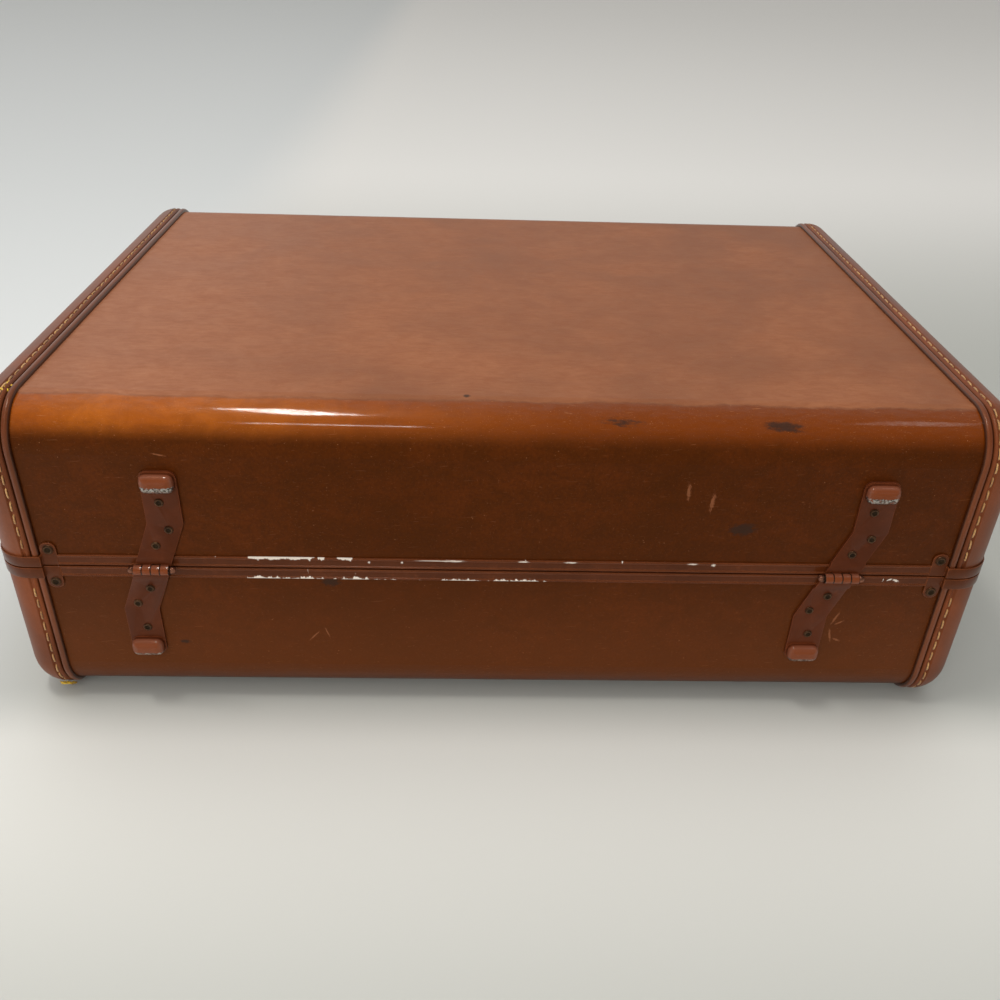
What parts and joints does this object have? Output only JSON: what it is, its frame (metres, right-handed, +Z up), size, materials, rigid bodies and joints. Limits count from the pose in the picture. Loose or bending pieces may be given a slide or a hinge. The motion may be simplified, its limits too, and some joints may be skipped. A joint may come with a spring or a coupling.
{
  "type": "vintage suitcase",
  "caption": "Hard vintage suitcase lying flat: rounded brown covered shell, stitched leather end bindings, riveted metal rims, slanted hinges with domed feet, latches and handle.",
  "frame": {"origin": "middle of the box of the whole part, on the surface that the case lies on", "axes": "+X along the case, +Y from the hinges towards the handle, +Z up through the lid"},
  "size_m": [0.6118, 0.443, 0.216],
  "materials": {
    "covering": "coated fibre covering over plywood, cognac brown, satin with gloss on the rounded edges, scuffed",
    "binding_leather": "smooth brown leather, worn, with tan thread stitching",
    "piping_leather": "folded and corded leather edge",
    "painted_rim": "brown enamel on steel strip, chipped along its edges",
    "painted_hinge": "brown enamel on pressed steel, worn to bright metal on the domed feet",
    "dark_rivet": "darkened rivets with dished heads",
    "hinge_pin": "painted steel pin with bright wear",
    "brass_hardware": "aged brass, polished by handling",
    "grip_leather": "padded leather roll, darkened by hands",
    "lip_metal": "dull bare strip",
    "lining_cloth": "tan cloth on card",
    "pocket_cloth": "gathered tan cloth",
    "strap_webbing": "woven webbing",
    "buckle_metal": "plated wire buckle"
  },
  "bodies": {
    "base": {"base_binding_left": "binding_leather", "base_binding_right": "binding_leather", "base_end_left": "covering", "base_end_right": "covering", "base_end_rim_left": "painted_rim", "base_end_rim_right": "painted_rim", "base_hinge_rivets": "dark_rivet", "base_lining": "lining_cloth", "base_piping_left": "piping_leather", "base_piping_right": "piping_leather", "base_rim_back": "painted_rim", "base_rim_front": "painted_rim", "base_rim_rivets": "dark_rivet", "base_shell": "covering", "closing_lip": "lip_metal", "handle_bracket_left": "brass_hardware", "handle_bracket_right": "brass_hardware", "handle_pins": "brass_hardware", "handle_rivets": "brass_hardware", "hinge_leaf_base_left": "painted_hinge", "hinge_leaf_base_right": "painted_hinge", "hinge_pin_left": "hinge_pin", "hinge_pin_right": "hinge_pin", "latch_case_left": "brass_hardware", "latch_case_right": "brass_hardware", "latch_rivets": "brass_hardware", "packing_strap_left": "strap_webbing", "packing_strap_right": "strap_webbing", "strap_buckles": "buckle_metal"},
    "lid": {"hasp_pins": "brass_hardware", "hasp_plate_left": "brass_hardware", "hasp_plate_right": "brass_hardware", "hasp_rivets": "brass_hardware", "hinge_leaf_lid_left": "painted_hinge", "hinge_leaf_lid_right": "painted_hinge", "lid_binding_left": "binding_leather", "lid_binding_right": "binding_leather", "lid_end_left": "covering", "lid_end_right": "covering", "lid_end_rim_left": "painted_rim", "lid_end_rim_right": "painted_rim", "lid_hinge_rivets": "dark_rivet", "lid_lining": "lining_cloth", "lid_piping_left": "piping_leather", "lid_piping_right": "piping_leather", "lid_pocket": "pocket_cloth", "lid_rim_back": "painted_rim", "lid_rim_front": "painted_rim", "lid_rim_rivets": "dark_rivet", "lid_shell": "covering"},
    "handle": {"handle_eyes": "brass_hardware", "handle_grip": "grip_leather"},
    "latch_slide_left": {"latch_slide_left": "brass_hardware"},
    "latch_slide_right": {"latch_slide_right": "brass_hardware"},
    "hasp_left": {"hasp_left": "brass_hardware"},
    "hasp_right": {"hasp_right": "brass_hardware"}
  },
  "joints": [
    {"name": "lid_hinge", "type": "hinge", "parent": "base", "child": "lid", "pos_m": [0, -0.2181, 0.1085], "axis": [1, 0, 0], "range_deg": [0, 180]},
    {"name": "handle_swing", "type": "hinge", "parent": "base", "child": "handle", "pos_m": [0, 0.213, 0.084], "axis": [1, 0, 0], "range_deg": [0, 175]},
    {"name": "hasp_flip_left", "type": "hinge", "parent": "lid", "child": "hasp_left", "pos_m": [-0.19, 0.2059, 0.1225], "axis": [1, 0, 0], "range_deg": [0, 150]},
    {"name": "hasp_flip_right", "type": "hinge", "parent": "lid", "child": "hasp_right", "pos_m": [0.19, 0.2059, 0.1225], "axis": [1, 0, 0], "range_deg": [0, 150]},
    {"name": "latch_slide_travel_left", "type": "slide", "parent": "base", "child": "latch_slide_left", "axis": [-1, 0, 0], "range_m": [0, 0.006], "stiffness_N_per_m": 150},
    {"name": "latch_slide_travel_right", "type": "slide", "parent": "base", "child": "latch_slide_right", "axis": [1, 0, 0], "range_m": [0, 0.006], "stiffness_N_per_m": 150}
  ]
}
